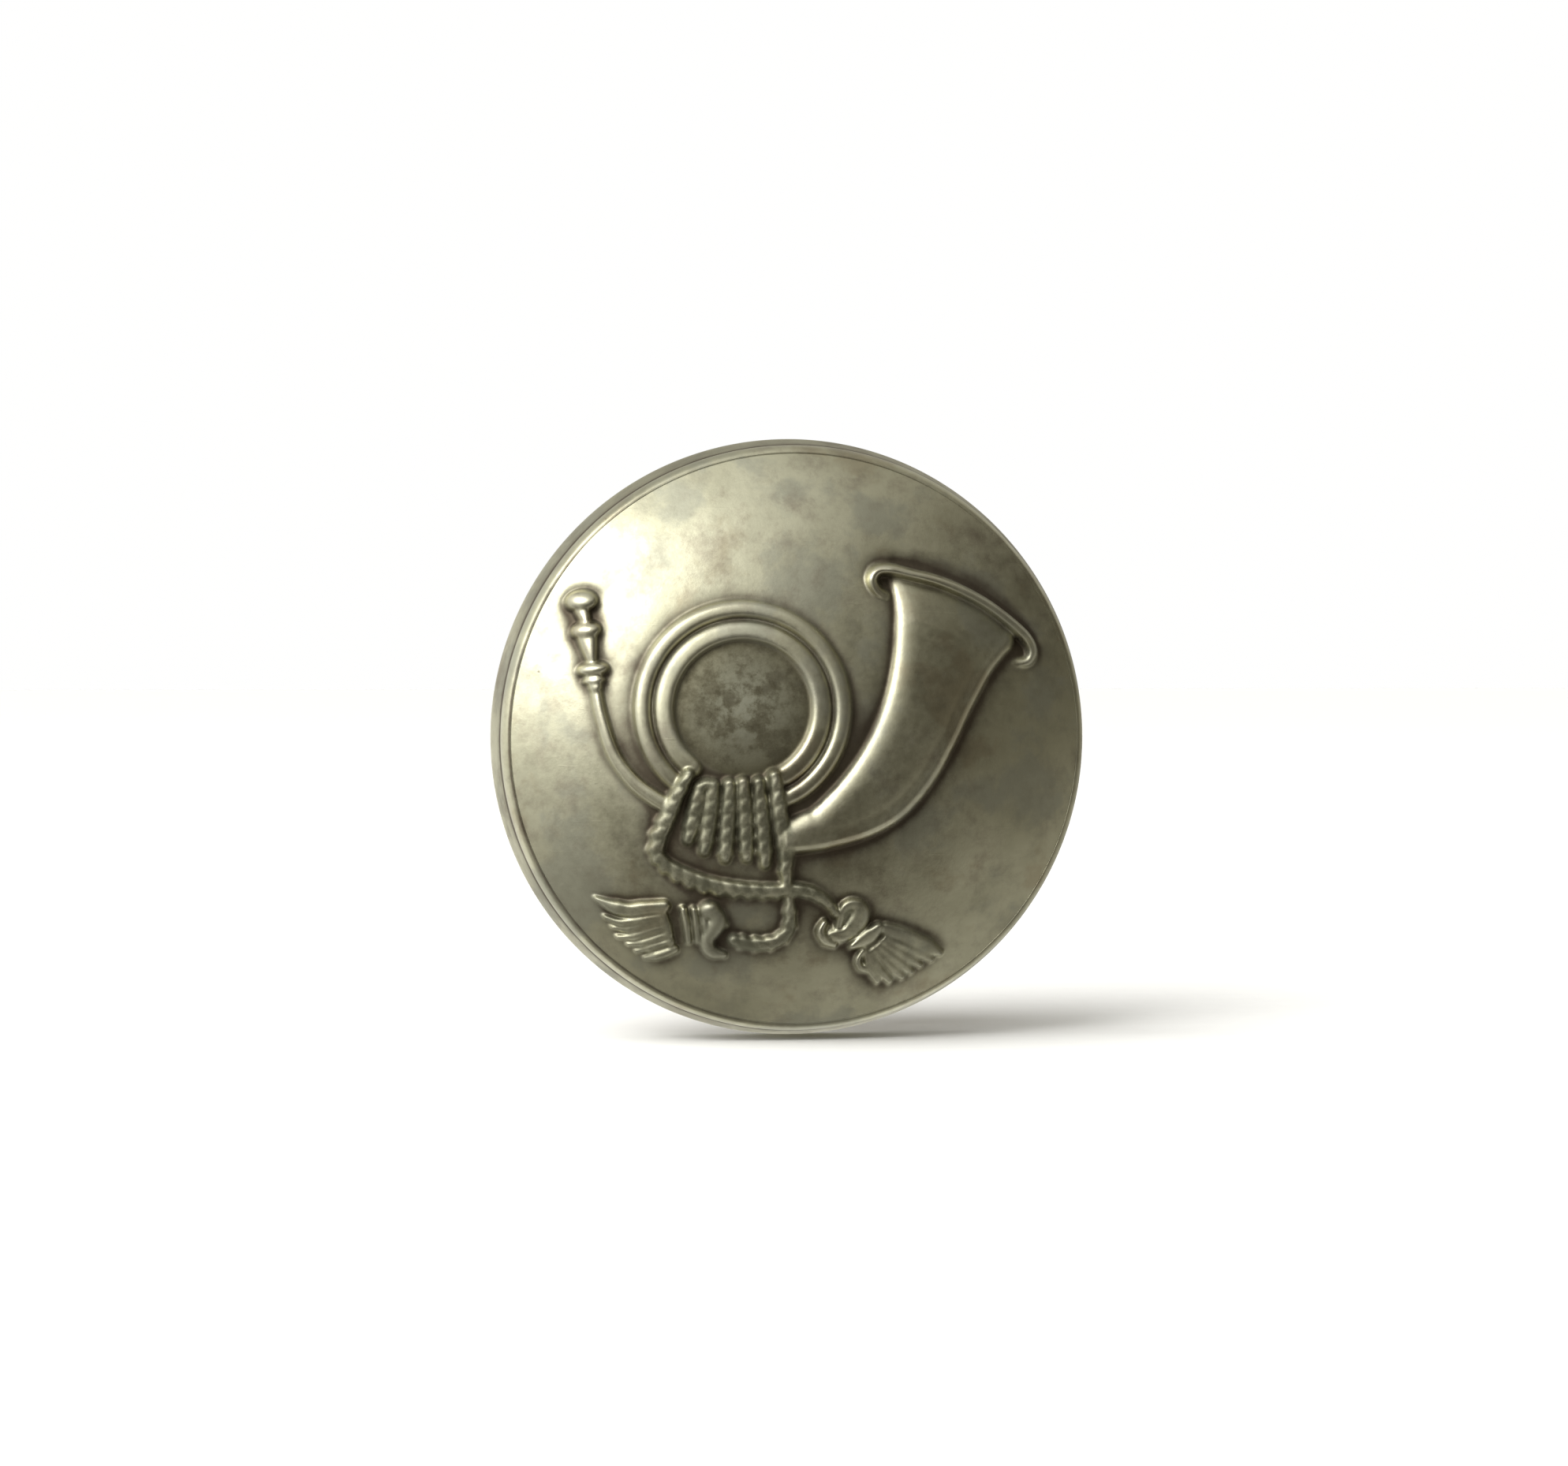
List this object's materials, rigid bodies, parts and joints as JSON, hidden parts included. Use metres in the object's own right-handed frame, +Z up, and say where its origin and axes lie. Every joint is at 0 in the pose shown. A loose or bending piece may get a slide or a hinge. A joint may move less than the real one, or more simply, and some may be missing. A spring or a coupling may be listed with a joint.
{
  "type": "cap badge",
  "caption": "Round domed metal cap badge struck with a corded hunting horn and tassels, fastened by a screw stud, dished clamp plate and knurled thumb nut.",
  "frame": {"origin": "centre of the back plate's rear face, where the badge sits on the cap cloth", "axes": "+Z up as the badge is worn, the struck face looks along -Y, and the stud points along +Y; +X is to the right seen from the front"},
  "size_m": [0.027, 0.0143, 0.027],
  "materials": {
    "nickel_silver": "tarnished nickel silver, satin, with dark brown patina in the recesses",
    "aged_brass": "aged brass, dull",
    "stud_brass": "turned brass, satin",
    "clamp_brass": "stamped brass, handled",
    "nut_brass": "knurled brass, handled",
    "pasteboard": "matte"
  },
  "bodies": {
    "badge": {"front_shell": "nickel_silver", "back_plate": "aged_brass", "packing_card": "pasteboard", "reinforcing_washer": "aged_brass", "threaded_stud": "stud_brass", "left_locating_pin": "stud_brass", "right_locating_pin": "stud_brass"},
    "clamp": {"clamp_plate": "clamp_brass"},
    "nut": {"nut_bush": "nut_brass", "nut_disc": "nut_brass"}
  },
  "joints": [
    {"name": "clamp_slide", "type": "slide", "parent": "badge", "child": "clamp", "axis": [0, 1, 0], "range_m": [-0.00235, 0.0032]},
    {"name": "nut_spin", "type": "hinge", "parent": "clamp", "child": "nut", "pos_m": [0, 0, 0], "axis": [0, 1, 0], "range_deg": [-1700, 2310]}
  ],
  "couplings": [
    {"joint": "nut_spin", "follows": "clamp_slide", "rad_per_m": 12566}
  ]
}
